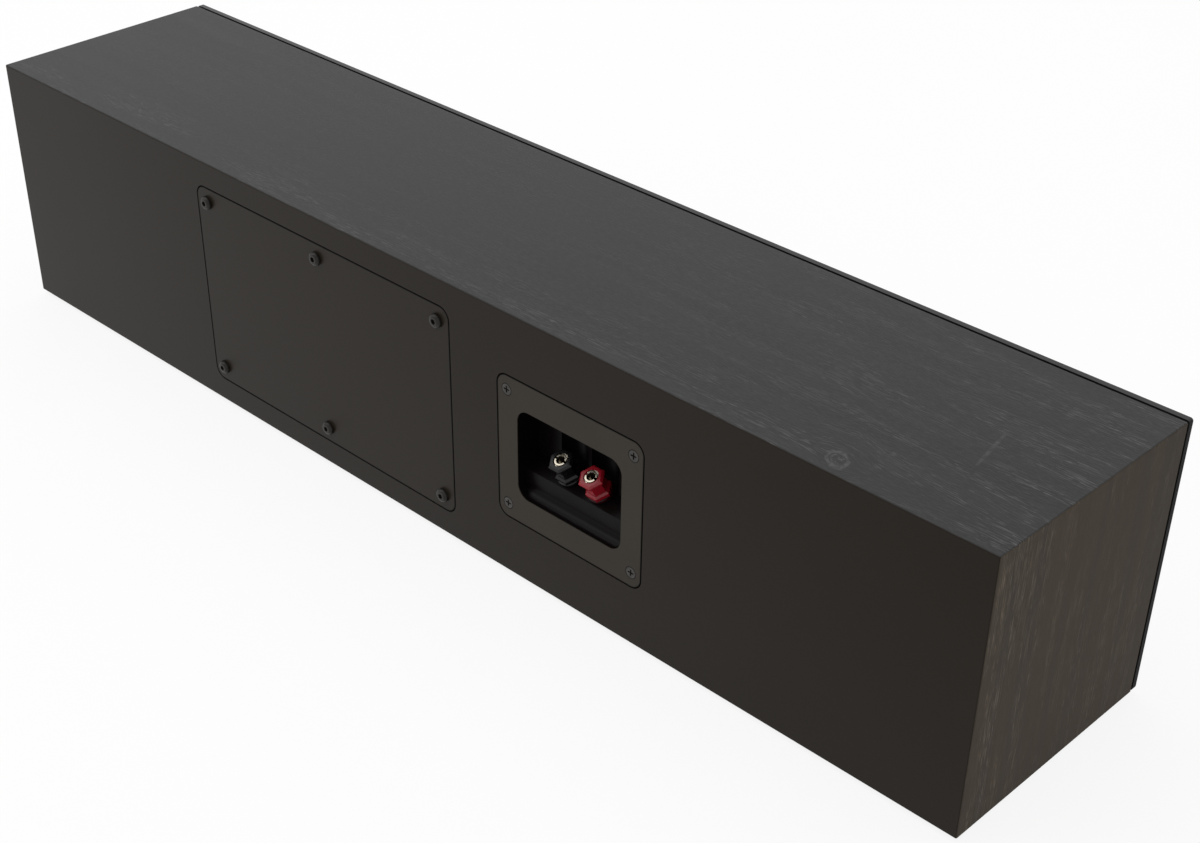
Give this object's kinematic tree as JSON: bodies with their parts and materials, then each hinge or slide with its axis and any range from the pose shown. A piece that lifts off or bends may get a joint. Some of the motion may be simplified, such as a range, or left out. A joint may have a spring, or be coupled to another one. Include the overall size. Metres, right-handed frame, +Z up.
{
  "type": "center channel speaker",
  "caption": "Long low center channel speaker with a vinyl wood-grain cabinet, rear terminal cup with black and red binding posts, access cover, woofers and a waveguide tweeter.",
  "frame": {"origin": "on the surface under the feet, below the middle of the cabinet from its front plate to its back face", "axes": "+Z up, -Y out of the front with the drivers, +Y out of the back with the terminals, X along the length"},
  "size_m": [0.66, 0.1374, 0.1425],
  "materials": {
    "vinyl_wrap": "black wood-grain vinyl over fibreboard, satin",
    "rear_finish": "black vinyl over fibreboard, matte",
    "fibreboard": "raw fibreboard",
    "front_plate": "satin black",
    "foot_rubber": "matte",
    "cover_finish": "satin black",
    "foam": "open-cell foam",
    "black_screws": "black oxide steel",
    "cup_plastic": "satin moulded plastic",
    "post_black": "gloss",
    "post_red": "gloss",
    "post_metal": "plated brass",
    "tag_brass": "plated brass",
    "frame_plastic": "satin black",
    "surround_rubber": "matte",
    "cone_plastic": "satin graphite",
    "coil_metal": "bare",
    "spider_cloth": "treated cloth",
    "plated_steel": "zinc plated",
    "ferrite": "ground ferrite",
    "waveguide_plastic": "satin black",
    "dome_metal": "anodised",
    "circuit_board": "lacquered",
    "spacer_plastic": "nylon",
    "copper_wire": "enamelled copper",
    "capacitor_film": "film",
    "resistor_ceramic": "cement",
    "wadding": "polyester fibre",
    "lead_insulation": "soft insulation"
  },
  "bodies": {
    "cabinet": {"access_cover": "cover_finish", "baffle_board": "fibreboard", "brace_left": "fibreboard", "brace_right": "fibreboard", "cabinet_wrap": "vinyl_wrap", "cover_gasket": "foam", "cover_screws": "black_screws", "crossover_board": "circuit_board", "crossover_capacitors": "capacitor_film", "crossover_inductors": "copper_wire", "crossover_resistors": "resistor_ceramic", "crossover_spacers": "spacer_plastic", "cup_gasket": "foam", "cup_screws": "black_screws", "driver_leads": "lead_insulation", "front_plate": "front_plate", "input_leads": "lead_insulation", "negative_collar": "post_black", "negative_post": "post_metal", "positive_collar": "post_red", "positive_post": "post_metal", "post_nuts": "tag_brass", "rear_panel": "rear_finish", "rubber_feet": "foot_rubber", "solder_tags": "tag_brass", "terminal_cup": "cup_plastic", "tweeter_diaphragm": "dome_metal", "tweeter_magnet": "ferrite", "tweeter_screws": "black_screws", "tweeter_top_plate": "plated_steel", "tweeter_voice_coil": "coil_metal", "tweeter_waveguide": "waveguide_plastic", "tweeter_yoke": "plated_steel", "wadding": "wadding", "woofer_1_frame": "frame_plastic", "woofer_1_surround": "surround_rubber", "woofer_2_frame": "frame_plastic", "woofer_2_surround": "surround_rubber", "woofer_3_frame": "frame_plastic", "woofer_3_surround": "surround_rubber", "woofer_4_frame": "frame_plastic", "woofer_4_surround": "surround_rubber", "woofer_magnets": "ferrite", "woofer_screws": "black_screws", "woofer_spiders": "spider_cloth", "woofer_top_plates": "plated_steel", "woofer_yokes": "plated_steel"},
    "woofer_1_diaphragm": {"woofer_1_cone": "cone_plastic", "woofer_1_voice_coil": "coil_metal"},
    "woofer_2_diaphragm": {"woofer_2_cone": "cone_plastic", "woofer_2_voice_coil": "coil_metal"},
    "woofer_3_diaphragm": {"woofer_3_cone": "cone_plastic", "woofer_3_voice_coil": "coil_metal"},
    "woofer_4_diaphragm": {"woofer_4_cone": "cone_plastic", "woofer_4_voice_coil": "coil_metal"},
    "negative_thread": {"negative_cap_insert": "post_metal"},
    "negative_knob": {"negative_cap": "post_black"},
    "positive_thread": {"positive_cap_insert": "post_metal"},
    "positive_knob": {"positive_cap": "post_red"}
  },
  "joints": [
    {"name": "woofer_1_travel", "type": "slide", "parent": "cabinet", "child": "woofer_1_diaphragm", "axis": [0, -1, 0], "range_m": [-0.003, 0.003], "stiffness_N_per_m": 1000, "deforming": ["woofer_1_surround", "woofer_spiders"]},
    {"name": "woofer_2_travel", "type": "slide", "parent": "cabinet", "child": "woofer_2_diaphragm", "axis": [0, -1, 0], "range_m": [-0.003, 0.003], "stiffness_N_per_m": 1000, "deforming": ["woofer_2_surround", "woofer_spiders"]},
    {"name": "woofer_3_travel", "type": "slide", "parent": "cabinet", "child": "woofer_3_diaphragm", "axis": [0, -1, 0], "range_m": [-0.003, 0.003], "stiffness_N_per_m": 1000, "deforming": ["woofer_3_surround", "woofer_spiders"]},
    {"name": "woofer_4_travel", "type": "slide", "parent": "cabinet", "child": "woofer_4_diaphragm", "axis": [0, -1, 0], "range_m": [-0.003, 0.003], "stiffness_N_per_m": 1000, "deforming": ["woofer_4_surround", "woofer_spiders"]},
    {"name": "negative_lift", "type": "slide", "parent": "cabinet", "child": "negative_thread", "axis": [0, 0.5, 0.866], "range_m": [0, 0.006]},
    {"name": "negative_turn", "type": "hinge", "parent": "negative_thread", "child": "negative_knob", "pos_m": [-0.10068, 0.05944, 0.07106], "axis": [0, 0.5, 0.866], "range_deg": [0, 2160]},
    {"name": "positive_lift", "type": "slide", "parent": "cabinet", "child": "positive_thread", "axis": [0, 0.5, 0.866], "range_m": [0, 0.006]},
    {"name": "positive_turn", "type": "hinge", "parent": "positive_thread", "child": "positive_knob", "pos_m": [-0.11972, 0.05944, 0.07106], "axis": [0, 0.5, 0.866], "range_deg": [0, 2160]}
  ],
  "couplings": [
    {"joint": "negative_turn", "follows": "negative_lift", "rad_per_m": 6283.2},
    {"joint": "positive_turn", "follows": "positive_lift", "rad_per_m": 6283.2}
  ]
}
